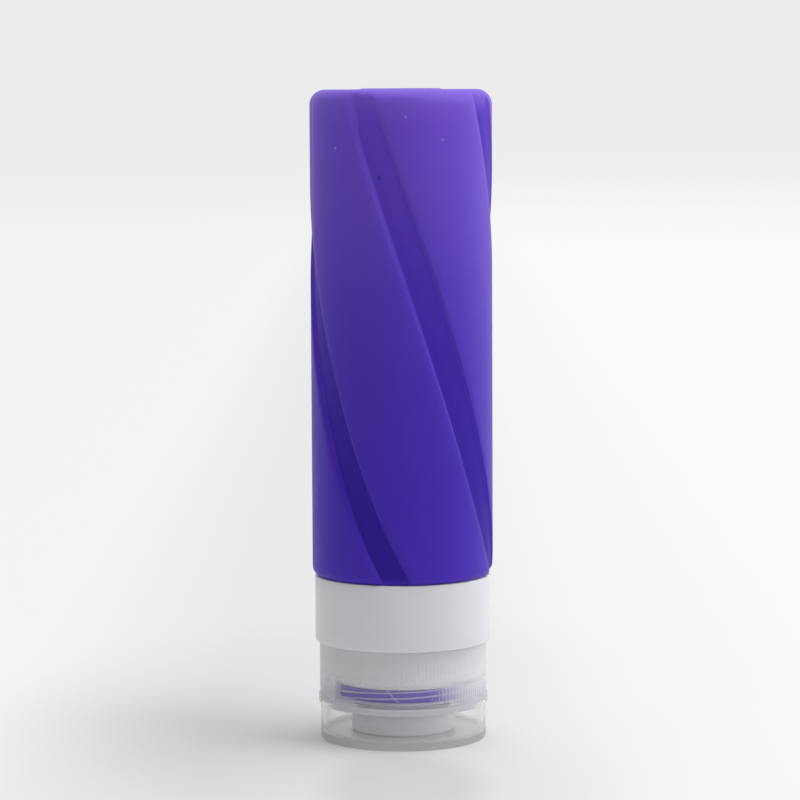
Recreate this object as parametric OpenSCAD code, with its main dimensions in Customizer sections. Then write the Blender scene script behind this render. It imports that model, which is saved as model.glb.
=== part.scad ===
// Soft silicone travel bottle that stands upside down on its flip-top cap.
// Millimetres, Z up, origin at the centre of the face that it stands on, front at -Y.

/* [Body] */
// Outer diameter of the silicone body
body_d = 37.6; // [35:0.2:46]
// Length of the body from the collar to the closed end
body_l = 100.6; // [60:0.2:150]
// Wall thickness between the grooves
body_wall = 2.4; // [2:0.1:3.2]
// Thickness of the closed end
end_wall = 3; // [2:0.1:5]
// Corner radius at the closed end
end_round = 3.2; // [1.5:0.1:5]
// Corner radius just above the collar
low_round = 1.8; // [0.6:0.1:2]
// Diameter of the low pad on the closed end
pad_d = 17; // [8:0.5:26]
// Height of the low pad on the closed end
pad_h = 0.2; // [0.1:0.05:0.6]
// Length of the spigot that plugs into the collar
spigot_l = 2.6; // [1.5:0.1:5]
// Height of the funnel that leads the cavity into the neck
funnel_l = 5; // [3:0.5:15]

/* [Spiral grooves] */
// Number of grooves round the body
groove_n = 4; // [2:1:6]
// Width of a groove at its floor
groove_w = 6; // [3:0.1:9]
// Depth of a groove
groove_depth = 0.9; // [0.4:0.1:1.2]
// Run of a groove's sloping side wall
groove_side = 0.75; // [0.3:0.05:1.5]
// How much a groove's floor narrows, on its left side, at the closed end
groove_fade = 2; // [0:0.1:2.5]
// Height over which it narrows
groove_fade_l = 10; // [5:0.5:30]
// Turn of a groove from the closed end to the collar, in degrees
groove_twist = 106; // [0:1:180]
// Extra turn close to the collar, in degrees
groove_hook = 10; // [0:1:20]
// Direction of the first groove at the closed end, in degrees from the front
groove_start = -30; // [-90:1:90]

/* [Neck and lip] */
// Wall of the silicone neck
neck_wall = 1.6; // [1:0.1:2.4]
// Height of the lip that folds over the neck's end
lip_h = 2.7; // [1.5:0.1:4]
// Corner radius of the lip
lip_round = 0.5; // [0.2:0.1:0.7]

/* [Collar] */
// How far the collar stands inside the body's outline
collar_inset = 0.5; // [0:0.1:1]
// Height of the collar that shows
collar_h = 13.8; // [8:0.2:20]
// Wall of the collar's skirt
collar_wall = 1.6; // [1:0.1:2]
// Thickness of the web between skirt and neck
collar_web = 1.6; // [1:0.1:3]
// Rounding of the collar's lower edge
collar_edge = 0.5; // [0.2:0.1:0.8]
// Outer diameter of the collar's neck, without the thread
neck_d = 28.6; // [26:0.2:29.4]
// Wall of the collar's neck
neck_ring_wall = 1.2; // [0.8:0.1:2]
// Length of the neck below the collar
neck_l = 8.4; // [6:0.2:12]

/* [Cap base] */
// Room between the neck and the cap for the thread
thread_room = 1.7; // [1.2:0.1:2.5]
// Wall of the cap's skirt, grip ribs included
base_wall = 1.4; // [1:0.1:2]
// Number of fine grip ribs
rib_n = 160; // [60:1:180]
// Depth of the grip ribs
rib_depth = 0.14; // [0.05:0.01:0.25]
// How far the flange stands out of the skirt
flange_out = 0.25; // [0.1:0.05:0.6]
// Height of the flange
flange_h = 1; // [0.6:0.1:2]
// How far the deck is raised into the lid
deck_rise = 1.5; // [0.8:0.1:2.5]
// Thickness of the deck
deck_t = 1.4; // [1:0.1:2]
// Width of the land that the lip seals on
land_w = 2.6; // [1.5:0.1:3]
// Height of the land above the deck
land_h = 0.9; // [0.4:0.1:1.5]
// Rounding of the deck's edge
deck_round = 1; // [0.4:0.1:1.2]
// Outer diameter of the valve housing
housing_d = 21.5; // [19:0.5:24]
// Wall of the valve housing
housing_wall = 1.3; // [1:0.1:1.8]
// Diameter of the mouth behind the valve
mouth_d = 12; // [8:0.5:13]

/* [Lid] */
// Height of the lid
lid_h = 8.4; // [7:0.1:12]
// How far the lid stands inside the cap's skirt
lid_inset = 0.15; // [0:0.05:0.5]
// Wall of the lid
lid_wall = 1.1; // [0.8:0.1:1.5]
// Thickness of the lid's plate
plate_t = 1.5; // [1:0.1:2.2]
// Rounding of the lid's outer edge
lid_round = 1; // [0.3:0.1:1.4]
// Height of the bead round the lid's rim
bead_h = 0.7; // [0.4:0.1:1.5]
// Gap between the plug ring on the plate and the retainer's opening
plug_gap = 0.8; // [0.6:0.1:1.5]
// Wall of the plug ring
plug_wall = 0.9; // [0.6:0.1:1.2]
// Height of the plug ring
plug_h = 2.4; // [1:0.1:3]

/* [Valve and retainer] */
// Thickness of the valve's flange
valve_flange_t = 1.3; // [0.8:0.1:1.6]
// Thickness of the valve's dished membrane
valve_skin = 0.7; // [0.4:0.1:1]
// Length of each slit in the valve
slit_l = 6.5; // [3:0.5:8]
// Width of each slit in the valve
slit_w = 0.12; // [0.08:0.01:0.3]
// Height of the snap bead on the retainer
snap_h = 0.25; // [0.1:0.05:0.4]
// Width of the snap bead at its foot
snap_w = 1; // [0.9:0.05:1.2]
// Wall of the retainer beside the valve
retainer_wall = 3.35; // [2.5:0.05:4]
// Flare of the retainer's opening towards the lid
retainer_flare = 1.2; // [0.5:0.1:1.5]

/* [Hinge] */
// Width of the hinge lands
hinge_w = 9; // [6:0.5:14]
// Height of each hinge land
hinge_h = 1; // [0.6:0.1:1.5]
// How far the hinge line stands out of the flange
hinge_out = 0.6; // [0.3:0.1:1.5]
// Thickness of the hinge film
film_t = 0.25; // [0.15:0.05:0.5]
// Width of the hinge film
film_w = 8; // [5:0.5:12]

/* [Clearances] */
// Gap between pieces that lie in each other
fit_gap = 0.1; // [0.05:0.01:0.2]
// Gap between the collar and the cap
cap_gap = 0.4; // [0.2:0.1:1]
// Gap between the lid's rim and the flange
part_gap = 0.1; // [0.05:0.01:0.2]
// Gap between the lid's wall and the deck
lid_gap = 0.3; // [0.2:0.05:0.5]
// Gap between the valve housing and the lid's plate
housing_gap = 0.4; // [0.2:0.05:0.8]
// How far the retainer sits back inside the housing
retainer_inset = 0.3; // [0.1:0.05:0.6]
// Gap between the valve's membrane and the mouth behind it
head_gap = 0.5; // [0.3:0.05:0.8]

/* [Hidden] */
$fn = 96;

silicone = [0.35, 0.25, 0.67];
collar_white = [0.80, 0.82, 0.84];
frosted = [0.72, 0.72, 0.73];
clear = [0.82, 0.81, 0.80];
valve_clear = [0.88, 0.89, 0.90];

// Heights, from the standing face upwards
flange_z = lid_h + part_gap;
deck_z = flange_z - deck_rise;
land_z = deck_z + deck_t + land_h;
lip_z = land_z + fit_gap;
neck_z = lip_z + lip_h + fit_gap;
collar_z = neck_z + neck_l;
shoulder_z = collar_z + collar_h;
spigot_z = shoulder_z - spigot_l;
top_z = shoulder_z + body_l;
skirt_z = collar_z - cap_gap;
housing_z = plate_t + housing_gap;

// Radii, from the axis outwards
body_r = body_d / 2;
cavity_r = body_r - body_wall;
collar_r = body_r - collar_inset;
socket_r = collar_r - collar_wall;
spigot_r = socket_r - fit_gap;
neck_r = neck_d / 2;
sleeve_r = neck_r - neck_ring_wall;
throat_r = sleeve_r - fit_gap;
bore_r = throat_r - neck_wall;
lip_r = neck_r - fit_gap;
grip_in_r = neck_r + thread_room;
base_r = grip_in_r + base_wall;
flange_r = base_r + flange_out;
lid_r = base_r - lid_inset;
lid_in_r = lid_r - lid_wall;
deck_r = lid_in_r - lid_gap;
land_r = lip_r + fit_gap;
housing_r = housing_d / 2;
seat_r = housing_r - housing_wall;
mouth_r = mouth_d / 2;
retainer_r = seat_r - fit_gap;
retainer_in_r = retainer_r - retainer_wall;
plug_r = retainer_in_r - plug_gap;
hinge_y = flange_r + hinge_out;
low_edge_r = min(low_round, body_r - spigot_r - fit_gap);

// Valve and retainer, stacked under the deck
valve_top_z = deck_z - fit_gap;
valve_low_z = valve_top_z - valve_flange_t;
head_r = mouth_r - head_gap;
retainer_top_z = valve_low_z - fit_gap;
retainer_low_z = housing_z + retainer_inset;
snap_z = (retainer_top_z + retainer_low_z) / 2;
snap_half = snap_w / 2;

// Groove: its floor and the open top above the surface
groove_over = 1;
groove_rings = 30;
floor_steps = 4;
groove_floor_r = body_r - groove_depth;
groove_top_r = body_r + groove_over;
groove_top_half = groove_w / 2 + groove_side * (groove_depth + groove_over) / groove_depth;

// How much narrower the floor is at a height
function groove_narrowing(z) = groove_fade * min(1, max(0, 1 - (top_z - z) / groove_fade_l));

// Groove section at a height: floor points, then the open top, with the panel's edge left in place
function groove_section(z) =
    let (narrowing = groove_narrowing(z), left = narrowing - groove_w / 2)
    concat(
        [for (i = [0:floor_steps]) [left + (groove_w - narrowing) * i / floor_steps, groove_floor_r]],
        [[groove_top_half, groove_top_r],
         [-groove_top_half - narrowing * groove_over / groove_depth, groove_top_r]]
    );

// Points of an arc round a centre, from one angle to another
function arc(centre, r, from, to, steps = 6) =
    [for (i = [0:steps]) let (a = from + (to - from) * i / steps) centre + r * [cos(a), sin(a)]];

// Direction of a groove at a height, in degrees from the front
function groove_turn(z) =
    let (t = (top_z - z) / body_l) groove_start + groove_twist * t + groove_hook * pow(t, 8);

// A point on a circle round the axis, at an angle from the front towards +X
function around(r, angle, z) = [r * sin(angle), -r * cos(angle), z];

// One spiral channel, swept a little past both ends of the body
module groove_cutter(first_angle) {
    n = floor_steps + 3;
    from_z = shoulder_z - groove_over;
    rise = body_l + 2 * groove_over;
    points = [
        for (i = [0:groove_rings])
            let (z = from_z + rise * i / groove_rings)
            for (p = groove_section(z))
                around(p[1], first_angle + groove_turn(z) + p[0] / body_r * 180 / PI, z)
    ];
    sides = [
        for (i = [0:groove_rings - 1], j = [0:n - 1])
            let (a = i * n + j, b = i * n + (j + 1) % n)
            each [[a, b, a + n], [b, b + n, a + n]]
    ];
    low_end = [[for (j = [n - 1:-1:0]) j]];
    high_end = [[for (j = [0:n - 1]) groove_rings * n + j]];
    polyhedron(points, concat(low_end, sides, high_end), convexity = 4);
}

// Outline of the hollow body, with spigot, neck and folded lip
body_profile = concat(
    [[0, top_z + pad_h], [pad_d / 2 - pad_h, top_z + pad_h], [pad_d / 2, top_z]],
    arc([body_r - end_round, top_z - end_round], end_round, 90, 0),
    arc([body_r - low_edge_r, shoulder_z + low_edge_r], low_edge_r, 0, -90),
    [[spigot_r, shoulder_z], [spigot_r, spigot_z], [throat_r, spigot_z], [throat_r, lip_z + lip_h]],
    arc([lip_r - lip_round, lip_z + lip_h - lip_round], lip_round, 90, 0, 3),
    arc([lip_r - lip_round, lip_z + lip_round], lip_round, 0, -90, 3),
    [[bore_r, lip_z], [bore_r, shoulder_z], [cavity_r, shoulder_z + funnel_l]],
    arc([cavity_r - end_round, top_z - end_wall - end_round], end_round, 0, 90),
    [[0, top_z - end_wall]]
);

module bottle_body() {
    color(silicone)
    difference() {
        rotate_extrude() polygon(body_profile);
        for (k = [0:groove_n - 1]) groove_cutter(k * 360 / groove_n);
    }
}

// Collar: an outer skirt and the neck that carries the cap's thread
module neck_collar() {
    color(collar_white)
    rotate_extrude() polygon(concat(
        [[sleeve_r, neck_z], [neck_r, neck_z], [neck_r, collar_z]],
        arc([collar_r - collar_edge, collar_z + collar_edge], collar_edge, -90, 0, 3),
        [[collar_r, shoulder_z], [socket_r, shoulder_z], [socket_r, collar_z + collar_web],
         [neck_r, collar_z + collar_web], [neck_r, spigot_z - fit_gap], [sleeve_r, spigot_z - fit_gap]]
    ));
}

// Ring of fine upright ribs round the skirt's wall, two points to a rib
module grip_ribs(low, high) {
    rib_points = [
        for (i = [0:2 * rib_n - 1])
            let (r = i % 2 == 0 ? base_r : base_r - rib_depth, a = 180 * i / rib_n)
            r * [cos(a), sin(a)]
    ];
    translate([0, 0, low])
    linear_extrude(high - low)
    difference() {
        polygon(rib_points);
        circle(r = grip_in_r + base_wall / 2);
    }
}

// Block behind the flange or the lid's rim that carries one edge of the film
module hinge_land(low) {
    inner_y = lid_in_r + lid_wall / 2;
    translate([-hinge_w / 2, inner_y, low])
    cube([hinge_w, hinge_y - inner_y, hinge_h]);
}

// Cap base: ribbed skirt, flange, raised deck, sealing land and valve housing
module cap_base() {
    skirt_r = base_r - 3 / 2 * rib_depth;
    rib_top = skirt_z - 2 * rib_depth;
    snap_r = seat_r + snap_h + fit_gap;
    flange_edge = flange_out / 2;
    color(frosted)
    difference() {
        union() {
            rotate_extrude() polygon(concat(
                [[grip_in_r, skirt_z], [skirt_r, skirt_z], [skirt_r, flange_z + flange_h],
                 [flange_r - flange_edge, flange_z + flange_h], [flange_r, flange_z + flange_h - flange_edge],
                 [flange_r, flange_z], [deck_r, flange_z]],
                arc([deck_r - deck_round, deck_z + deck_round], deck_round, 0, -90),
                [[housing_r, deck_z], [housing_r, housing_z], [seat_r, housing_z],
                 [seat_r, snap_z - snap_half - snap_h], [snap_r, snap_z - snap_half],
                 [snap_r, snap_z + snap_half], [seat_r, snap_z + snap_half + snap_h],
                 [seat_r, deck_z], [mouth_r, deck_z], [mouth_r, deck_z + deck_t],
                 [land_r - land_w, deck_z + deck_t], [land_r - land_w, land_z], [grip_in_r, land_z]]
            ));
            grip_ribs(flange_z + flange_h / 2, rib_top);
            hinge_land(flange_z);
        }
        translate([0, 0, land_z]) cylinder(r = grip_in_r, h = skirt_z);
    }
}

// Valve: a flange, and a dished membrane with two crossed slits
module valve() {
    rim_r = seat_r - fit_gap;
    dish_z = valve_top_z + valve_skin;
    color(valve_clear)
    difference() {
        rotate_extrude() polygon([
            [0, dish_z + valve_skin / 2], [head_r / 2, dish_z + valve_skin / 4], [head_r, dish_z - valve_skin / 2],
            [head_r, valve_top_z], [rim_r, valve_top_z], [rim_r, valve_low_z], [head_r + valve_skin, valve_low_z],
            [head_r - valve_skin, valve_low_z + valve_skin], [head_r / 2, dish_z - 3 / 4 * valve_skin],
            [0, dish_z - valve_skin / 2]
        ]);
        for (a = [0, 90])
            rotate([0, 0, a]) translate([0, 0, dish_z]) cube([slit_l, slit_w, 4 * valve_skin], center = true);
    }
}

// Snap ring that clamps the valve's flange, with a flared opening
module valve_retainer() {
    color(frosted)
    rotate_extrude() polygon([
        [retainer_in_r + retainer_flare, retainer_low_z], [retainer_r, retainer_low_z],
        [retainer_r, snap_z - snap_half], [retainer_r + snap_h, snap_z - snap_half + snap_h],
        [retainer_r + snap_h, snap_z + snap_half - snap_h], [retainer_r, snap_z + snap_half],
        [retainer_r, retainer_top_z], [retainer_in_r, retainer_top_z]
    ]);
}

// Lid: the plate that the bottle stands on, its wall, rim bead, plug ring and hinge land
module flip_lid() {
    bead_z = lid_h - bead_h;
    color(clear)
    union() {
        rotate_extrude() polygon(concat(
            [[0, 0]],
            arc([lid_r - lid_round, lid_round], lid_round, -90, 0),
            [[lid_r, bead_z - flange_out], [flange_r, bead_z], [flange_r, lid_h], [lid_in_r, lid_h],
             [lid_in_r, plate_t], [plug_r, plate_t], [plug_r, plate_t + plug_h],
             [plug_r - plug_wall, plate_t + plug_h], [plug_r - plug_wall, plate_t], [0, plate_t]]
        ));
        hinge_land(lid_h - hinge_h);
    }
}

// Film that joins the two hinge lands, folded when the lid opens
module hinge_film() {
    color(clear)
    translate([-film_w / 2, hinge_y, lid_h - hinge_h / 2])
    cube([film_w, film_t, hinge_h + part_gap]);
}

bottle_body();
neck_collar();
cap_base();
valve();
valve_retainer();
flip_lid();
hinge_film();
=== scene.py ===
import math

import bpy
import bmesh
from mathutils import Matrix, Vector


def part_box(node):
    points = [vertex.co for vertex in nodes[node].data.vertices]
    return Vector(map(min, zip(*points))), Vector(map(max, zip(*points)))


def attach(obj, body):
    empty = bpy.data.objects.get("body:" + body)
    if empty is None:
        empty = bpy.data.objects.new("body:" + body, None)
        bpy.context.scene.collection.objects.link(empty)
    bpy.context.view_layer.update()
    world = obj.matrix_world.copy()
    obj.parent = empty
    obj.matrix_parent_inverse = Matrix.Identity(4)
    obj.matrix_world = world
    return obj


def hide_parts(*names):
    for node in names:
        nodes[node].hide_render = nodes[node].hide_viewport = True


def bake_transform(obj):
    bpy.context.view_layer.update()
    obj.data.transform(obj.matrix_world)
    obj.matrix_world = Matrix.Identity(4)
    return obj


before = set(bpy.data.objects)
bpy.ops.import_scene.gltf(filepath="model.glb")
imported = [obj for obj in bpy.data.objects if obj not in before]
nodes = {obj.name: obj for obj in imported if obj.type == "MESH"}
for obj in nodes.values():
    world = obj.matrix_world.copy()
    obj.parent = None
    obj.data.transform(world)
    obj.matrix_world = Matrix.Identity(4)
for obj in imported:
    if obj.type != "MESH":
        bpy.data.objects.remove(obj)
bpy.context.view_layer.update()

mm = 0.001
turn = 2 * math.pi
roundSteps = 5              # segments for each millimetre of rounding
merged = 0.002 * mm         # vertices nearer than this become one
thinnest = 0.001 * mm
tolerance = 0.01            # millimetres within which a vertex counts as lying on a surface
grainDepth = 0.05 * mm      # of every finish's bump


# Outlines and spun shells

def outline(points, closed, fineStep, fineBeyond=0.0, coarseStep=6.0):
    # points are (radius, height, rounding) in millimetres, in the XZ plane
    shape = bmesh.new()
    verts = [shape.verts.new((r * mm, 0, z * mm)) for r, z, _ in points]
    pairs = list(zip(verts, verts[1:])) + ([(verts[-1], verts[0])] if closed else [])
    for a, b in pairs:
        shape.edges.new((a, b))
    for vert, (r, z, rounding) in zip(verts, points):
        if rounding:
            segments = max(2, round(rounding * roundSteps))
            bmesh.ops.bevel(shape, geom=[vert], offset=rounding * mm, offset_type="OFFSET",
                            affect="VERTICES", segments=segments, profile=0.5, material=-1)
    for edge in list(shape.edges):
        middle = (edge.verts[0].co + edge.verts[1].co) / 2
        step = fineStep if middle.x > fineBeyond * mm else coarseStep
        cuts = int(edge.calc_length() / (step * mm))
        if cuts:
            bmesh.ops.subdivide_edges(shape, edges=[edge], cuts=cuts)
    return shape


def spinRound(shape, columns):
    # the outline goes once round the Z axis, then its seam and poles are closed
    bmesh.ops.spin(shape, geom=shape.verts[:] + shape.edges[:], cent=(0, 0, 0), axis=(0, 0, 1),
                   dvec=(0, 0, 0), angle=turn, steps=columns, use_merge=True,
                   use_normal_flip=False, use_duplicate=False)
    bmesh.ops.remove_doubles(shape, verts=shape.verts[:], dist=merged)
    bmesh.ops.dissolve_degenerate(shape, edges=shape.edges[:], dist=thinnest)
    bmesh.ops.recalc_face_normals(shape, faces=shape.faces[:])
    return shape


def finishPiece(shape, name, body, material, replaces=(), smoothAngle=35):
    # the bmesh becomes a smooth shaded piece on its body
    mesh = bpy.data.meshes.new(name)
    shape.to_mesh(mesh)
    shape.free()
    piece = bpy.data.objects.new(name, mesh)
    bpy.context.scene.collection.objects.link(piece)
    mesh.shade_smooth()
    mesh.set_sharp_from_angle(angle=math.radians(smoothAngle))
    mesh.materials.append(material)
    if body:
        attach(piece, body)
    if replaces:
        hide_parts(*replaces)
    print("made", name, "with", len(mesh.polygons), "faces")
    return piece


def polar(vert):
    return math.hypot(vert.co.x, vert.co.y), math.atan2(vert.co.x, -vert.co.y)


def around(radius, angle, z):
    # angles go from the front towards +X
    return Vector((radius * math.sin(angle), -radius * math.cos(angle), z))


# Shader maths

class Wire:
    # one output of a node; an expression on wires adds the Math nodes
    def __init__(self, finish, socket):
        self.finish = finish
        self.socket = socket

    def __add__(self, other):
        return self.finish.maths("ADD", self, other)

    def __radd__(self, other):
        return self.finish.maths("ADD", other, self)

    def __sub__(self, other):
        return self.finish.maths("SUBTRACT", self, other)

    def __rsub__(self, other):
        return self.finish.maths("SUBTRACT", other, self)

    def __mul__(self, other):
        return self.finish.maths("MULTIPLY", self, other)

    def __rmul__(self, other):
        return self.finish.maths("MULTIPLY", other, self)

    def __truediv__(self, other):
        return self.finish.maths("DIVIDE", self, other)

    def __rtruediv__(self, other):
        return self.finish.maths("DIVIDE", other, self)

    def __pow__(self, other):
        return self.finish.maths("POWER", self, other)

    def __lt__(self, other):
        return self.finish.maths("LESS_THAN", self, other)

    def __gt__(self, other):
        return self.finish.maths("GREATER_THAN", self, other)


class Finish:
    # one material or world, with its nodes
    def __init__(self, name, world=False):
        self.data = (bpy.data.worlds if world else bpy.data.materials).new(name)
        self.data.use_nodes = True
        self.tree = self.data.node_tree
        self.tree.nodes.clear()
        self.output = self.tree.nodes.new("ShaderNodeOutputWorld" if world else "ShaderNodeOutputMaterial")

    def add(self, kind, settings=None, values=None, output=0):
        node = self.tree.nodes.new(kind)
        for key, value in (settings or {}).items():
            if key == "stops":
                ramp = node.color_ramp
                while len(ramp.elements) < len(value):
                    ramp.elements.new(0.5)
                for element, (place, colour) in zip(ramp.elements, value):
                    element.position = place
                    element.color = colour
            else:
                setattr(node, key, value)
        for key, value in (values or {}).items():
            if isinstance(value, Wire):
                self.tree.links.new(value.socket, node.inputs[key])
            else:
                node.inputs[key].default_value = value
        return Wire(self, node.outputs[output])

    def place(self):
        return self.add("ShaderNodeTexCoord", output="Object")

    def axes(self, vector):
        return [self.add("ShaderNodeSeparateXYZ", values={0: vector}, output=axis) for axis in "XYZ"]

    def noise(self, vector, scale, detail):
        return self.add("ShaderNodeTexNoise", values={"Vector": vector, "Scale": scale, "Detail": detail})

    def mixColour(self, factor, a, b):
        return self.add("ShaderNodeMix", {"data_type": "RGBA"}, {0: factor, 6: a, 7: b}, output=2)

    def ramp(self, factor, stops):
        return self.add("ShaderNodeValToRGB", {"stops": stops}, {0: factor})

    def maths(self, operation, *values):
        return self.add("ShaderNodeMath", {"operation": operation}, dict(enumerate(values)))

    def hypot(self, a, b):
        return self.maths("SQRT", a * a + b * b)

    def mixShader(self, factor, a, b):
        return self.add("ShaderNodeMixShader", values={0: factor, 1: a, 2: b})

    def smoothRange(self, value, low, high):
        return self.add("ShaderNodeMapRange", {"interpolation_type": "SMOOTHSTEP", "clamp": True},
                        {0: value, 1: low, 2: high, 3: 0.0, 4: 1.0})

    def rise(self, value, ends, unit=mm):
        return self.smoothRange(value, ends[0] * unit, ends[1] * unit)

    def band(self, value, ends, unit=mm):
        # comes between the first two ends and goes between the last two
        return self.rise(value, ends[:2], unit) * (1 - self.rise(value, ends[2:], unit))

    def spot(self, place, centre, radius):
        # 1 inside a small sphere round a point, fading to 0 at its edge
        away = self.add("ShaderNodeVectorMath", {"operation": "DISTANCE"}, {0: place, 1: centre}, output=1)
        return 1 - self.smoothRange(away, radius * 0.5, radius)

    def seen(self, *kinds):
        # 1 for the kinds of ray named
        rays = [self.add("ShaderNodeLightPath", output=kind) for kind in kinds]
        total = rays[0]
        for ray in rays[1:]:
            total = self.maths("MAXIMUM", total, ray)
        return total

    def bump(self, height, strength):
        return self.add("ShaderNodeBump", values={"Height": height, "Strength": strength, "Distance": grainDepth})

    def close(self, shader):
        self.tree.links.new(shader.socket, self.output.inputs["Surface"])
        return self.data


# Camera, as the photograph was taken

cameraSpec = {
    "distance": 670.4,      # from the bottle's axis
    "height": 136.1,
    "pitch": 5.57,          # degrees down
    "yaw": 0.035,           # degrees to the left, so that the axis lies right of the middle
    "roll": -0.27,          # the bottle leans a little to the left
    "focal": 3241.7,        # in pixels of the 800 pixel frame
    "frame": 800,
    "sensor": 36.0,
}


def makeCamera():
    spec = cameraSpec
    data = bpy.data.cameras.new("photoCamera")
    data.sensor_width = spec["sensor"]
    data.lens = spec["focal"] / spec["frame"] * spec["sensor"]
    data.clip_start = 0.01
    data.clip_end = 50
    camera = bpy.data.objects.new("photoCamera", data)
    bpy.context.scene.collection.objects.link(camera)
    yaw = Matrix.Rotation(math.radians(spec["yaw"]), 3, "Z")
    pitch = Matrix.Rotation(math.radians(90 - spec["pitch"]), 3, "X")
    roll = Matrix.Rotation(math.radians(spec["roll"]), 3, "Z")
    camera.rotation_euler = (yaw @ pitch @ roll).to_euler()
    camera.location = (0, -spec["distance"] * mm, spec["height"] * mm)
    bpy.context.scene.camera = camera


makeCamera()
bpy.context.scene.view_settings.view_transform = "Standard"
print("camera set")


# Floor, room and lamps

roomSpec = {
    "floorSize": 24.0,
    "near": 0.042,          # metres to the side where the floor's lit colour starts to give way to its tone
    "far": 0.105,
    "deep": 0.6,            # the same to the front and back counts as this share
    "least": 0.03,          # share of the tone beside the object, painted light that lifts its shadow a little
    "leastThroughPaintedLight": 0.30,   # the same where it is seen through plastic: painted light that brightens the floor under the plastic
    "lit": 1.03,            # the lit colour is a little paler than the tone
    "front": 0.050,         # metres before the object where a painted shadow darkens the lit floor a little
    "frontFull": 0.020,
    "frontReach": 0.040,
    "frontNarrow": 2.0,     # that place is this much narrower than it is deep
    "frontPaintedShadow": 0.14,
    "evenFrom": 1.9,        # metres beyond which the tone turns even
    "evenTo": 11.0,
    "evenTone": (0.835, 0.838, 0.835, 1),
    "toneWidth": 0.4,       # metres across which the tone runs from left to right
    # darker just behind the object, a painted shadow on the backdrop
    "tonesWithPaintedShadow": [
        (0.00, (0.890, 0.893, 0.890, 1)),
        (0.28, (0.897, 0.900, 0.897, 1)),
        (0.40, (0.820, 0.823, 0.823, 1)),
        (0.54, (0.850, 0.853, 0.860, 1)),
        (0.62, (0.925, 0.928, 0.930, 1)),
        (0.76, (0.957, 0.960, 0.957, 1)),
        (1.00, (0.960, 0.963, 0.960, 1)),
    ],
    "most": (0.98, 0.98, 0.98),     # no lit colour is paler than this
    "roughness": 0.8,
    "specular": 0.2,
    "roomLight": 0.357,
}

lampSpec = [
    # name, place, point aimed at, width and height in metres, and power in watts
    ("top", (0.03, 0.09, 0.75), (0, 0, 0.04), 0.60, 0.60, 2.16),
    ("nearRight", (0.32, -0.12, 0.42), (0, 0, 0.07), 0.30, 0.30, 0.78),
    ("backRight", (0.56, 0.24, 0.28), (0, 0, 0.06), 0.40, 0.50, 0.84),
]


def makeRoom():
    spec = roomSpec
    world = Finish("paleRoom", world=True)
    seen = world.seen("Is Camera Ray", "Is Glossy Ray", "Is Transmission Ray")
    room = world.add("ShaderNodeBackground", values={"Color": (1, 1, 1, 1), "Strength": spec["roomLight"]})
    shown = world.add("ShaderNodeBackground", values={"Color": spec["evenTone"], "Strength": 1.0})
    world.close(world.mixShader(seen, room, shown))
    bpy.context.scene.world = world.data

    f = Finish("paleFloor")
    x, y, z = f.axes(f.place())
    away = f.hypot(x, y)
    tone = f.ramp(x / spec["toneWidth"] + 0.5, spec["tonesWithPaintedShadow"])
    tone = f.mixColour(f.smoothRange(1 / away, 1 / spec["evenTo"], 1 / spec["evenFrom"]), spec["evenTone"], tone)
    # a painted shadow on the floor just before the object
    front = f.hypot(x * spec["frontNarrow"], y + spec["front"])
    front = 1 - f.smoothRange(front, spec["frontFull"], spec["frontReach"])
    level = spec["lit"] * (1 - spec["frontPaintedShadow"] * front)
    lit = f.add("ShaderNodeVectorMath", {"operation": "SCALE"}, {0: tone, 3: level})
    lit = f.add("ShaderNodeVectorMath", {"operation": "MINIMUM"}, {0: lit, 1: spec["most"]})
    own = f.add("ShaderNodeBsdfPrincipled", values={"Base Color": lit, "Roughness": spec["roughness"],
                                                    "Specular IOR Level": spec["specular"]})
    shown = f.add("ShaderNodeEmission", values={"Color": tone, "Strength": 1.0})
    beside = f.hypot(x, y * spec["deep"])
    # the floor's tone shows more strongly through the plastic: painted light
    least = spec["least"] + (spec["leastThroughPaintedLight"] - spec["least"]) * f.seen("Is Transmission Ray")
    faded = least + (1 - least) * f.smoothRange(beside, spec["near"], spec["far"])
    faded = faded * f.seen("Is Camera Ray", "Is Glossy Ray", "Is Transmission Ray")
    shape = bmesh.new()
    bmesh.ops.create_grid(shape, x_segments=1, y_segments=1, size=spec["floorSize"] / 2)
    mesh = bpy.data.meshes.new("floor")
    shape.to_mesh(mesh)
    shape.free()
    mesh.materials.append(f.close(f.mixShader(faded, own, shown)))
    floor = bpy.data.objects.new("floor", mesh)
    bpy.context.scene.collection.objects.link(floor)

    for name, place, aim, width, height, power in lampSpec:
        data = bpy.data.lights.new(name, "AREA")
        data.shape = "RECTANGLE"
        data.size = width
        data.size_y = height
        data.energy = power
        lamp = bpy.data.objects.new(name, data)
        lamp.location = place
        lamp.visible_transmission = False       # its light comes through the plastics by the shadow rays alone
        lamp.rotation_euler = (Vector(aim) - Vector(place)).to_track_quat("-Z", "Y").to_euler()
        bpy.context.scene.collection.objects.link(lamp)


makeRoom()
print("room and lamps set")


# Finishes

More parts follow.
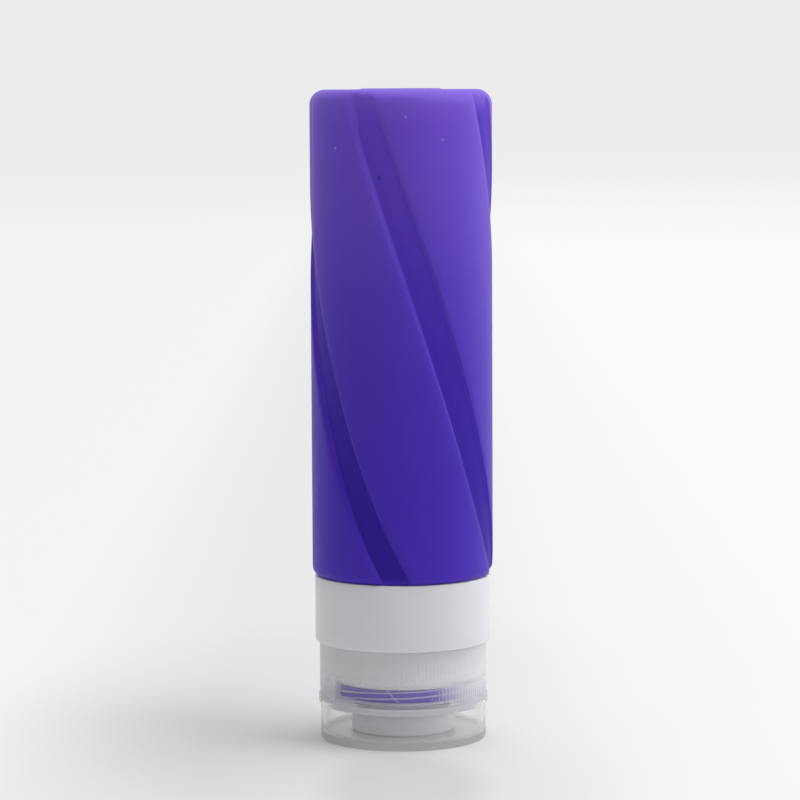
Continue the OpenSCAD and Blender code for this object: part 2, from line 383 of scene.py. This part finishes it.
siliconeSpec = {
    "lowZ": 35,             # millimetres
    "highZ": 135,
    "paintedLightPigments": [           # from the collar up to the closed end, paler towards the top as painted light from above, and palest on the rounded closed end as a painted highlight
        (0.00, (0.058, 0.013, 0.480, 1)),
        (0.20, (0.056, 0.013, 0.470, 1)),
        (0.40, (0.070, 0.019, 0.485, 1)),
        (0.60, (0.093, 0.034, 0.535, 1)),
        (0.78, (0.132, 0.056, 0.585, 1)),
        (0.93, (0.150, 0.063, 0.632, 1)),
        (1.00, (0.205, 0.102, 0.720, 1)),
    ],
    "clouds": 55,           # scale of the clouds in the pigment
    "cloudRise": 8,         # millimetres by which they shift it
    "paintedGrooveShade": (0.55, 0.45, 0.70, 1),        # painted shade that darkens the groove floors, less of it near the closed end
    "paintedGrooveShadeHigh": (0.95, 0.88, 1.04, 1),    # less so near the closed end
    "grooveEnds": (34.4, 36.0, 129.0, 134.5),   # heights between which that comes and goes
    "grooveRough": 0.3,
    "shadowTint": (0.58, 0.44, 0.80, 1),        # tint where the far lip keeps the light away
    "shadowX": (12.5, 15.0),
    "shadowZ": (98.0, 110.0),
    "dust": (0.29, 0.22, 0.66, 1),
    "dark": (0.060, 0.036, 0.25, 1),
    "specks": [             # x, z and size, radius of the surface they lie on, all in millimetres, and colour
        (1.0, 129.5, 0.30, 18.8, "dust"),
        (-13.2, 123.2, 0.34, 18.8, "dust"),
        (8.45, 124.9, 0.30, 18.8, "dust"),
        (-4.35, 117.3, 0.55, 17.9, "dark"),
    ],
    "paleLineAngle": 73.5,    # degrees to the left of the front, where a paler line runs down the side
    "paleLineEnds": (98, 108, 132.5, 134),       # heights between which it comes and goes
    "paleLineWidth": (0.1, 0.75),
    "paleLineShare": 0.5,
    "paleLineColour": (0.30, 0.22, 0.74, 1),
    "roughness": 0.50,
    "roughVary": 0.10,
    "roughScale": 240,
    "grain": 3200,
    "grainStrength": 0.10,
    "sockets": {"IOR": 1.36, "Sheen Weight": 0.08, "Sheen Roughness": 0.4},
}


def siliconeFinish():
    spec = siliconeSpec
    f = Finish("mattSilicone")
    place = f.place()
    x, y, z = f.axes(place)
    cloudy = f.noise(place, spec["clouds"], 3)
    height = z + spec["cloudRise"] * mm * (cloudy - 0.5) - spec["lowZ"] * mm
    height = height / ((spec["highZ"] - spec["lowZ"]) * mm)
    # the pigment ramp carries painted light: paler towards the top, with a painted highlight on the closed end
    colour = f.ramp(height, spec["paintedLightPigments"])
    # painted shade on the groove floors, strongest near the collar
    tint = f.mixColour(height, spec["paintedGrooveShade"], spec["paintedGrooveShadeHigh"])
    tint = f.mixColour(f.rise(x, spec["shadowX"]) * f.rise(z, spec["shadowZ"]), tint, spec["shadowTint"])
    deep = f.add("ShaderNodeAttribute", {"attribute_name": "groove"}, output=2) * f.band(z, spec["grooveEnds"])
    tint = f.mixColour(deep, (1, 1, 1, 1), tint)
    colour = f.add("ShaderNodeVectorMath", {"operation": "MULTIPLY"}, {0: colour, 1: tint})
    # a paler line down the left side, between the heights given
    line = math.radians(spec["paleLineAngle"])
    across = f.maths("ABSOLUTE", y * math.sin(line) - x * math.cos(line))
    paleLineMask = (1 - f.rise(across, spec["paleLineWidth"])) * f.band(z, spec["paleLineEnds"]) * (x < 0.0)
    colour = f.mixColour(paleLineMask * spec["paleLineShare"], colour, spec["paleLineColour"])
    for speckX, speckZ, size, radius, speckColour in spec["specks"]:
        speckY = -math.sqrt(radius ** 2 - speckX ** 2)
        spot = f.spot(place, (speckX * mm, speckY * mm, speckZ * mm), size * mm)
        colour = f.mixColour(spot, colour, spec[speckColour])
    rough = spec["roughness"] + spec["roughVary"] * f.noise(place, spec["roughScale"], 3) + spec["grooveRough"] * deep
    return f.close(f.add("ShaderNodeBsdfPrincipled", values={
        **spec["sockets"], "Base Color": colour, "Roughness": rough,
        "Normal": f.bump(f.noise(place, spec["grain"], 2), spec["grainStrength"])}))


collarLook = {
    "clouds": 90,
    "colours": [(0.81, 0.825, 0.855, 1), (0.85, 0.86, 0.885, 1)],
    "roughness": 0.34,
    "roughVary": 0.08,
    "grain": 1500,
    "grainStrength": 0.08,
    "sockets": {"IOR": 1.44, "Coat Weight": 0.15, "Coat Roughness": 0.18, "Subsurface Weight": 0.6,
                "Subsurface Radius": (1.0, 1.0, 1.0), "Subsurface Scale": 2.2 * mm},
}


def collarFinish():
    spec = collarLook
    f = Finish("whiteCollar")
    place = f.place()
    cloudy = f.noise(place, spec["clouds"], 3)
    return f.close(f.add("ShaderNodeBsdfPrincipled", values={
        **spec["sockets"], "Base Color": f.mixColour(cloudy, *spec["colours"]),
        "Roughness": spec["roughness"] + spec["roughVary"] * cloudy,
        "Normal": f.bump(f.noise(place, spec["grain"], 2), spec["grainStrength"])}))


capFrostSpec = {
    # shares of milk, heights and radii in millimetres, and turns from the front
    "least": 0.10,
    "upper": 0.62,
    "upperHeights": (12.0, 15.5),
    "inside": 15.9,         # radius inside which the deck lies
    "deck": 0.70,
    "deckTop": 9.35,
    "flange": 0.40,
    "flangeTop": 9.5,
    "windowLow": 9.6,       # the skirt is clearest in this window over the lip
    "windowTop": (12.5, 13.5),
    "paintedHighlight": 0.50,          # the ribs to the right of it are whiter, a painted highlight
    "paintedHighlightTurns": (0.045, 0.140),
    "ribs": 130,
    "ribPaintedHighlight": 0.09,
    "ribTurns": (0.02, 0.06, 0.22, 0.32),
    "left": 0.50,           # and the skirt is milky again to the left of it
    "leftTurns": (0.140, 0.160),
    "scratch": 0.6,
    "scratchEnds": [(-3.97, 13.34), (-0.4, 9.6)],       # x and z on the front of the skirt
    "scratchWidth": 0.13,
    "scratchFront": 17.0,
    "glow": 0.52,           # share of the milk that is lit from behind
    "glowLoss": 0.38,
    "glowHeights": (8.5, 14.5),
}


def scratchLine(f, place):
    # 1 along the thin bright scratch on the front of the skirt
    spec = capFrostSpec
    x, y, z = f.axes(place)
    (x1, z1), (x2, z2) = spec["scratchEnds"]
    length = math.hypot(x2 - x1, z2 - z1)
    ux, uz = (x2 - x1) / length, (z2 - z1) / length
    dx, dz = x - x1 * mm, z - z1 * mm
    along = dx * ux + dz * uz
    across = f.maths("ABSOLUTE", dx * uz - dz * ux)
    inside = (across < spec["scratchWidth"] / 2 * mm) * (along > 0.0) * (along < length * mm)
    return inside * (y < -spec["scratchFront"] * mm)


def windowMilk(f, place):
    # milk beside the clear window, and painted highlights on its ribs
    spec = capFrostSpec
    x, y, z = f.axes(place)
    angle = f.maths("ARCTAN2", x, 0 - y)
    wave = f.maths("COSINE", angle * spec["ribs"])
    paintedHighlight = f.rise(angle, spec["paintedHighlightTurns"], turn) * spec["paintedHighlight"]
    left = f.rise(0 - angle, spec["leftTurns"], turn) * spec["left"]
    # whiter stripes on the ribs on the right, a painted highlight
    ribbed = f.band(angle, spec["ribTurns"], turn) * spec["ribPaintedHighlight"] * wave
    return (z > spec["windowLow"] * mm) * (1 - f.rise(z, spec["windowTop"])) * (paintedHighlight + left + ribbed)


def capFrost(f, place):
    spec = capFrostSpec
    x, y, z = f.axes(place)
    radius = f.hypot(x, y)
    upper = spec["least"] + spec["upper"] * f.rise(z, spec["upperHeights"])
    deck = spec["deck"] * (radius < spec["inside"] * mm) * (z < spec["deckTop"] * mm)
    flange = spec["flange"] * (radius > spec["inside"] * mm) * (z < spec["flangeTop"] * mm)
    return upper + deck + flange + windowMilk(f, place) + spec["scratch"] * scratchLine(f, place)


def capGlow(f, place):
    spec = capFrostSpec
    return spec["glow"] - spec["glowLoss"] * f.rise(f.axes(place)[2], spec["glowHeights"])


lidFrostSpec = {
    "least": 0.07,
    "plate": 0.80,          # share of milk in the thick plate
    "plateEnds": (1.5, 2.6),        # heights between which the plate gives way to the wall
    "ringLoss": 0.58,       # and how much less there is in the ring between these radii
    "ringInner": 10.9,
    "ringOuter": 16.9,
    "centre": 0.05,
    "centreRadius": 6,
}


def lidPlate(f, place):
    return 1 - f.rise(f.axes(place)[2], lidFrostSpec["plateEnds"])


def lidFrost(f, place):
    spec = lidFrostSpec
    x, y, z = f.axes(place)
    radius = f.hypot(x, y)
    ring = (radius > spec["ringInner"] * mm) * (radius < spec["ringOuter"] * mm)
    plate = lidPlate(f, place) * (spec["plate"] - spec["ringLoss"] * ring)
    return spec["least"] + plate + spec["centre"] * (radius < spec["centreRadius"] * mm)


plasticSpec = {
    "tint": (0.96, 0.96, 0.965, 1),
    "milk": (0.90, 0.90, 0.925, 1),
    "paintedShadeMilk": (0.44, 0.435, 0.455, 1),
    "paintedShadeWhere": None,            # a function for where the milk is darkened by painted shade
    "frost": 0.0,           # share of milk, a number or a function
    "glow": 0.40,           # share of the milk that is lit from behind, the same
    "slanted": 0.75,        # how much milkier the plastic is where it's seen at a slant
    "through": 0.96,        # how much of a lamp's light each surface lets by
    "clouds": 120,
    "grain": 900,
    "grainStrength": 0.10,
    "roughVary": 0.05,
    "gloss": 0.35,
    "glossRoughness": 0.15,
    "milkRoughness": 0.35,
    "milkVary": 0.1,
    "milkIor": 1.4,
}

plasticLooks = {
    "frostedPlastic": {"roughness": 0.12, "ior": 1.06, "frost": capFrost, "glow": capGlow},
    "threadCrest": {"roughness": 0.05, "ior": 1.03, "grainStrength": 0.0, "gloss": 0.0, "slanted": 0.0},
    # the flanks are milky white so the thread shows as whitish lines: painted glints
    "threadFlankPaintedGlint": {"roughness": 0.16, "ior": 1.06, "grainStrength": 0.0, "gloss": 0.0, "slanted": 0.0,
                    "frost": 0.55, "milk": (0.97, 0.97, 0.985, 1)},
    "innerPlastic": {"roughness": 0.20, "ior": 1.10, "frost": 0.85},
    "clearPlastic": {"roughness": 0.12, "ior": 1.035, "grainStrength": 0.05, "slanted": 0.5, "frost": lidFrost,
                     "milk": (0.88, 0.87, 0.88, 1), "paintedShadeWhere": lidPlate, "through": 0.93},
    "valveSilicone": {"roughness": 0.30, "ior": 1.20, "frost": 0.80},
}


def plasticFinish(name, look):
    # see-through plastic mixed with milky plastic; lamps shine through both
    spec = {**plasticSpec, **look}
    f = Finish(name)
    place = f.place()
    cloudy = f.noise(place, spec["clouds"], 3)
    normal = f.bump(f.noise(place, spec["grain"], 2), spec["grainStrength"])
    clear = f.add("ShaderNodeBsdfPrincipled", values={
        "Base Color": f.mixColour(cloudy, spec["tint"], (1, 1, 1, 1)), "IOR": spec["ior"],
        "Roughness": spec["roughness"] + spec["roughVary"] * cloudy, "Transmission Weight": 1.0,
        "Coat Weight": spec["gloss"], "Coat Roughness": spec["glossRoughness"], "Coat Normal": normal,
        "Normal": normal})
    frost, glow, milk = spec["frost"], spec["glow"], spec["milk"]
    # the lid's plate takes the darker milk: painted shade
    front = f.mixColour(spec["paintedShadeWhere"](f, place), milk, spec["paintedShadeMilk"]) if spec["paintedShadeWhere"] else milk
    matt = f.add("ShaderNodeBsdfPrincipled", values={
        "Base Color": front, "Roughness": spec["milkRoughness"] + spec["milkVary"] * cloudy,
        "IOR": spec["milkIor"], "Normal": normal})
    lit = f.add("ShaderNodeBsdfTranslucent", values={"Color": milk, "Normal": normal})
    milky = f.mixShader(glow(f, place) if callable(glow) else glow, matt, lit)
    facing = f.add("ShaderNodeLayerWeight", values={"Blend": 0.5}, output=1)
    share = frost(f, place) if callable(frost) else frost
    share = share + (1 - share) * spec["slanted"] * facing ** 3
    plastic = f.mixShader(share, clear, milky)
    passing = f.add("ShaderNodeBsdfTransparent", values={"Color": (*[spec["through"]] * 3, 1)})
    return f.close(f.mixShader(f.seen("Is Shadow Ray"), plastic, passing))


silicone = siliconeFinish()
collarPlastic = collarFinish()
plastics = {name: plasticFinish(name, look) for name, look in plasticLooks.items()}
print("finishes made")


# Silicone body with its spiral grooves, neck and folded lip

bodySpec = {
    "grooves": 4,
    "floorHalf": 2.85,      # half of the groove's floor
    "wallEnd": [3.95, 3.55],    # where its rounded lips meet the panels, on the left and on the right
    "depth": 0.95,
    "rise": 0.45,           # the floor rises by this share of its depth from left to right
    "twist": 106,           # degrees from the closed end to the collar
    "hook": 10,             # degrees more near the collar
    "hookPower": 8,
    "start": -28.8,
    "runOut": 0.9,          # radius over which a groove's floor rounds off at its ends
    "fade": [2.0, 0.3, 0.3, 0.3],   # how much each groove's floor narrows on its left side at the closed end
    "fadeLength": 10,
    "floorColumns": 3,
    "wallColumns": 7,
    "panelColumns": 8,
    "cavity": 16.4,
    "endWall": 3.0,
    "endRound": 3.2,
    "lowRound": 1.8,
    "padRadius": 8.5,
    "padHeight": 0.2,
    "padSlope": 0.5,
    "outside": 17,          # the outer surface lies beyond this radius
    "spigot": 16.6,
    "spigotLength": 2.6,
    "throat": 13.0,
    "bore": 11.4,
    "lip": 14.2,
    "lipHeight": 2.7,
    "funnel": 5.0,
}


def grooveColumn(column, narrowing, half):
    # distance from the groove's middle in millimetres, share of its depth, and 1 on its floor, for a mesh column;
    # half is half of the way to the next groove
    spec = bodySpec
    side = -1 if column < 0 else 1
    step = abs(column)
    wallEnd = spec["wallEnd"][side > 0]
    floorHalf = spec["floorHalf"] - (narrowing if side < 0 else 0)
    if step <= spec["floorColumns"]:
        place = side * step / spec["floorColumns"]
        return floorHalf * place, 1 - spec["rise"] * (1 + place) / 2, 1.0
    step -= spec["floorColumns"]
    if step <= spec["wallColumns"]:
        t = step / spec["wallColumns"]
        foot = 1 - spec["rise"] * (side > 0)
        return side * (floorHalf + t * (wallEnd - floorHalf)), foot * (1 - t * t * (3 - 2 * t)), 0.0
    t = (step - spec["wallColumns"]) / spec["panelColumns"]
    return side * (wallEnd + t * (half - wallEnd)), 0.0, 0.0


def siliconeBody():
    spec = bodySpec
    low, high = (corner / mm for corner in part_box("bottle_body"))
    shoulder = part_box("neck_collar")[1].z / mm
    radius = high.x
    top = high.z - spec["padHeight"]
    halfColumns = spec["floorColumns"] + spec["wallColumns"] + spec["panelColumns"]
    half = math.pi * radius / spec["grooves"]
    lipTop = low.z + spec["lipHeight"]
    spigotLow = shoulder - spec["spigotLength"]
    shape = outline([
        (0, high.z, 0), (spec["padRadius"] - spec["padSlope"], high.z, 0), (spec["padRadius"], top, 0),
        (radius, top, spec["endRound"]), (radius, shoulder, spec["lowRound"]),
        (spec["spigot"], shoulder, 0), (spec["spigot"], spigotLow, 0.2), (spec["throat"], spigotLow, 0),
        (spec["throat"], lipTop, 0.2), (spec["lip"], lipTop, 0.5), (spec["lip"], low.z, 0.5),
        (spec["bore"], low.z, 0.4), (spec["bore"], shoulder, 1.5), (spec["cavity"], shoulder + spec["funnel"], 3),
        (spec["cavity"], top - spec["endWall"], 3.2), (0, top - spec["endWall"], 0),
    ], closed=False, fineStep=0.8, fineBeyond=spec["outside"])
    columns = 2 * halfColumns * spec["grooves"]
    spinRound(shape, columns)
    length = top - shoulder
    grooveLayer = shape.verts.layers.float.new("groove")
    for vert in shape.verts:
        r, angle = polar(vert)
        if r < tolerance * mm:
            continue
        z = vert.co.z / mm
        share = min(1.0, (top - z) / length)
        index = round(angle / turn * columns) % columns
        sector, column = divmod(index + halfColumns, 2 * halfColumns)
        narrowing = spec["fade"][sector % spec["grooves"]] * min(1.0, max(0.0, 1 - (top - z) / spec["fadeLength"]))
        across, depth, flat = grooveColumn(column - halfColumns, narrowing, half)
        if r > spec["outside"] * mm - 1e-7 and z > shoulder - tolerance:
            floor = radius - depth * spec["depth"]
            vert[grooveLayer] = flat
            close = max(0.0, 1 - abs(r / mm - floor) / spec["runOut"])
            r = (min(r / mm, floor) - depth * close ** 2 * spec["runOut"] / 4) * mm
        swirl = spec["start"] + spec["twist"] * share + spec["hook"] * share ** spec["hookPower"]
        swirl = swirl + sector * 360 / spec["grooves"]
        vert.co = around(r, math.radians(swirl) + across / radius, vert.co.z)
    bmesh.ops.recalc_face_normals(shape, faces=shape.faces[:])
    finishPiece(shape, "siliconeBody", "bottle", silicone, ["bottle_body"])


siliconeBody()


# Threads: one helical ridge on the collar's neck and one inside the cap

threadSpec = {
    "pitch": 4.0,
    "stepsPerTurn": 96,
    "taper": 0.08,          # share of a turn over which the ends run out
    "least": 0.08,          # share of the ridge's height that is left at its very ends
    "lean": 0.0,            # millimetres by which the crest lies above the middle
    "flank": 0.5,           # faces that lie flatter than this are flanks
}


def threadRidge(name, body, material, rootRadius, startHeight, ridge, flankMaterial=None):
    # the ridge starts at an angle in degrees from the front towards +X; lengths are in millimetres
    spec = {**threadSpec, **ridge}
    turns = spec["turns"]
    start = math.radians(spec["startAngle"])
    crest, lean = spec["crest"], spec["lean"]
    steps = round(turns * spec["stepsPerTurn"])
    shape = bmesh.new()
    section = [(rootRadius, -spec["rootHalf"]), (crest, lean - spec["crestHalf"]), (crest, lean + spec["crestHalf"]),
               (rootRadius, spec["rootHalf"])]
    verts = [shape.verts.new(around(r * mm, start, (startHeight + z) * mm)) for r, z in section]
    for a, b in zip(verts, verts[1:] + verts[:1]):
        shape.edges.new((a, b))
    bmesh.ops.spin(shape, geom=shape.verts[:] + shape.edges[:], cent=(0, 0, 0), axis=(0, 0, 1),
                   dvec=(0, 0, spec["pitch"] * turns / steps * mm), angle=turns * turn, steps=steps,
                   use_merge=False, use_normal_flip=False, use_duplicate=False)
    ends = [edge for edge in shape.edges if edge.is_boundary]
    bmesh.ops.holes_fill(shape, edges=ends, sides=4)
    bmesh.ops.recalc_face_normals(shape, faces=shape.faces[:])
    for vert in shape.verts:
        r, angle = polar(vert)
        # turns that this vertex has come along the helix: its angle gives the part, its height the whole ones
        part = (angle - start) / turn % 1.0
        if part > 1 - 1e-5:
            part = 0.0
        come = part + round((vert.co.z / mm - startHeight) / spec["pitch"] - part)
        near = min(come, turns - come)
        keep = min(1.0, max(0.0, spec["least"] + (1 - spec["least"]) * near / spec["taper"]))
        r = rootRadius * mm + (r - rootRadius * mm) * keep
        vert.co = around(r, angle, vert.co.z)
    shape.normal_update()
    for face in shape.faces:
        face.material_index = int(flankMaterial is not None and abs(face.normal.z) > spec["flank"])
    piece = finishPiece(shape, name, body, material, smoothAngle=25)
    if flankMaterial:
        piece.data.materials.append(flankMaterial)


# Collar: skirt, web and threaded neck

collarSpec = {
    "wall": 1.6,
    "web": 1.6,
    "edge": 0.5,
    "sleeve": 13.1,
    "neck": 14.3,
    "neckLength": 8.4,
    "neckGap": 0.1,         # between the neck's top and the body's spigot
    "columns": 192,
    "threadFoot": 0.1,      # the ridge's foot lies this deep in the neck
    "threadStart": 1.0,     # above the neck's end
    "thread": {"crest": 15.4, "rootHalf": 0.8, "crestHalf": 0.4, "startAngle": 45, "turns": 1.5},
}


def collarShell():
    spec = collarSpec
    low, high = (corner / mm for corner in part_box("neck_collar"))
    radius = high.x
    web = low.z + spec["neckLength"]
    neckTop = high.z - bodySpec["spigotLength"] - spec["neckGap"]
    shape = outline([
        (spec["sleeve"], low.z, 0.2), (spec["neck"], low.z, 0.3), (spec["neck"], web, 0.3),
        (radius, web, spec["edge"]), (radius, high.z, 0.2), (radius - spec["wall"], high.z, 0.2),
        (radius - spec["wall"], web + spec["web"], 0.4), (spec["neck"], web + spec["web"], 0.3),
        (spec["neck"], neckTop, 0.2), (spec["sleeve"], neckTop, 0.2),
    ], closed=True, fineStep=3)
    spinRound(shape, spec["columns"])
    finishPiece(shape, "collarShell", "bottle", collarPlastic, ["neck_collar"])
    threadRidge("collarThread", "bottle", collarPlastic, spec["neck"] - spec["threadFoot"],
                low.z + spec["threadStart"], spec["thread"])


collarShell()


# Cap: ribbed skirt, flange, deck, sealing land and valve housing

capSpec = {
    "ribs": 130,
    "ribDepth": 0.06,
    "skirt": 17.4,
    "inside": 16.0,
    "flangeHeight": 1.0,
    "deckRise": 1.5,
    "deck": 15.85,
    "deckThick": 1.4,
    "housing": 10.75,
    "seat": 9.45,
    "mouth": 6.0,
    "landInner": 11.6,
    "landHeight": 0.9,
    "rimRise": 0.3,         # the rim comes this much nearer to the collar than the solid
    "snapDepth": 0.35,
    "snapHalf": 0.5,
    "landHalf": 4.5,        # half of the hinge land's width
    "landBack": 0.25,       # room for the film behind the land
    "lidGap": 0.1,
    "columnsPerRib": 4,
    "plainLow": 0.4,        # the ribs stop this far above the flange
    "plainHigh": 0.5,       # and this far below the rim
    "threadFoot": 0.02,     # the ridge's foot lies this deep in the skirt
    "threadStart": 1.42,    # above the sealing land
    "thread": {"crest": 15.1, "rootHalf": 0.75, "crestHalf": 0.45, "startAngle": -64, "turns": 1.95, "lean": -0.15},
}


def pullHingeLand(shape, lowZ, highZ):
    # the rim's faces at the back are pushed out to a flat land for the film
    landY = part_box("hinge_film")[0].y - capSpec["landBack"] * mm
    half = capSpec["landHalf"] * mm
    faces = []
    for face in shape.faces:
        centre = face.calc_center_median()
        out = Vector((centre.x, centre.y, 0)).normalized()
        if centre.y > 0 and abs(centre.x) < half and lowZ * mm < centre.z < highZ * mm and face.normal.dot(out) > 0.5:
            faces.append(face)
    made = bmesh.ops.extrude_face_region(shape, geom=faces)
    for vert in made["geom"]:
        if isinstance(vert, bmesh.types.BMVert):
            vert.co.y = landY
    bmesh.ops.delete(shape, geom=faces, context="FACES_ONLY")


def capShell():
    spec = capSpec
    low, high = (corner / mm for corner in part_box("cap_base"))
    flange = high.x
    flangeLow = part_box("flip_lid")[1].z / mm + spec["lidGap"]
    flangeTop = flangeLow + spec["flangeHeight"]
    deck = flangeLow - spec["deckRise"]
    deckTop = deck + spec["deckThick"]
    land = deckTop + spec["landHeight"]
    root = spec["skirt"] - spec["ribDepth"]
    rim = high.z + spec["rimRise"]
    ribLow, ribHigh = flangeTop + spec["plainLow"], rim - spec["plainHigh"]
    retainerLow, retainerHigh = (corner.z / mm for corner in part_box("valve_retainer"))
    snap = (retainerLow + retainerHigh) / 2
    snapEdge = spec["snapHalf"] + spec["snapDepth"]
    shape = outline([
        (spec["inside"], rim, 0.2), (root, rim, 0.2), (root, ribHigh, 0), (root, ribLow, 0),
        (root, flangeTop, 0), (flange, flangeTop, 0.12), (flange, flangeLow, 0.12), (spec["deck"], flangeLow, 0.15),
        (spec["deck"], deck, 0.4), (spec["housing"], deck, 0.3), (spec["housing"], low.z, 0.25),
        (spec["seat"], low.z, 0.2), (spec["seat"], snap - snapEdge, 0),
        (spec["seat"] + spec["snapDepth"], snap - spec["snapHalf"], 0),
        (spec["seat"] + spec["snapDepth"], snap + spec["snapHalf"], 0), (spec["seat"], snap + snapEdge, 0),
        (spec["seat"], deck, 0), (spec["mouth"], deck, 0.1), (spec["mouth"], deckTop, 0.2),
        (spec["landInner"], deckTop, 0), (spec["landInner"], land, 0.15), (spec["inside"], land, 0.4),
    ], closed=True, fineStep=3)
    spinRound(shape, spec["columnsPerRib"] * spec["ribs"])
    pullHingeLand(shape, flangeLow, flangeTop)
    for vert in shape.verts:
        r, angle = polar(vert)
        z = vert.co.z / mm
        if abs(r / mm - root) < tolerance and ribLow - tolerance < z < ribHigh + tolerance:
            wave = 0.5 + 0.5 * math.cos(spec["ribs"] * angle)
            vert.co = around(r + spec["ribDepth"] * wave * mm, angle, vert.co.z)
    bmesh.ops.recalc_face_normals(shape, faces=shape.faces[:])
    finishPiece(shape, "capShell", "cap", plastics["frostedPlastic"], ["cap_base"], smoothAngle=30)
    threadRidge("capThread", "cap", plastics["threadCrest"], spec["inside"] + spec["threadFoot"],
                land + spec["threadStart"], spec["thread"], plastics["threadFlankPaintedGlint"])


capShell()

for name, plastic in (("valve", "valveSilicone"), ("valve_retainer", "innerPlastic")):
    node = nodes[name]
    node.data.materials.clear()
    node.data.materials.append(plastics[plastic])


# Lid that the bottle stands on

lidSpec = {
    "radius": 17.25,
    "wall": 1.1,
    "plate": 1.5,
    "edge": 0.5,
    "bead": 0.7,
    "beadSlope": 0.3,
    "plug": 5.2,
    "plugWall": 0.9,
    "plugHeight": 2.4,
    "columns": 256,
}


def lidShell():
    spec = lidSpec
    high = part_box("flip_lid")[1] / mm
    bead = high.x
    inside = spec["radius"] - spec["wall"]
    beadLow = high.z - spec["bead"]
    plugTop = spec["plate"] + spec["plugHeight"]
    shape = outline([
        (0, 0, 0), (spec["radius"], 0, spec["edge"]), (spec["radius"], beadLow - spec["beadSlope"], 0),
        (bead, beadLow, 0.1), (bead, high.z, 0.15), (inside, high.z, 0.2), (inside, spec["plate"], 0.5),
        (spec["plug"], spec["plate"], 0.2),
        (spec["plug"], plugTop, 0.25), (spec["plug"] - spec["plugWall"], plugTop, 0.25),
        (spec["plug"] - spec["plugWall"], spec["plate"], 0.2), (0, spec["plate"], 0),
    ], closed=False, fineStep=3)
    spinRound(shape, spec["columns"])
    pullHingeLand(shape, beadLow, high.z)
    bmesh.ops.recalc_face_normals(shape, faces=shape.faces[:])
    finishPiece(shape, "lidShell", "lid", plastics["clearPlastic"], ["flip_lid"], smoothAngle=30)


lidShell()


# Hinge film between the two lands

filmSpec = {
    "thick": 0.2,
    "cuts": 11,
    "reach": 0.3,           # distance above and below the fold
}


def hingeFilm():
    spec = filmSpec
    low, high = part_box("hinge_film")
    landY = low.y - capSpec["landBack"] * mm
    thick = spec["thick"] * mm
    shape = bmesh.new()
    bmesh.ops.create_cube(shape, size=1)
    size = Vector((high.x - low.x, thick, high.z - low.z))
    bmesh.ops.scale(shape, vec=size, verts=shape.verts[:])
    bmesh.ops.translate(shape, vec=(0, landY + thick / 2, (low.z + high.z) / 2), verts=shape.verts[:])
    upright = [e for e in shape.edges if abs((e.verts[0].co - e.verts[1].co).z) > size.z / 2]
    bmesh.ops.subdivide_edges(shape, edges=upright, cuts=spec["cuts"], use_grid_fill=True)
    film = finishPiece(shape, "hingeFilm", None, plastics["innerPlastic"], ["hinge_film"])
    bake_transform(film)


hingeFilm()
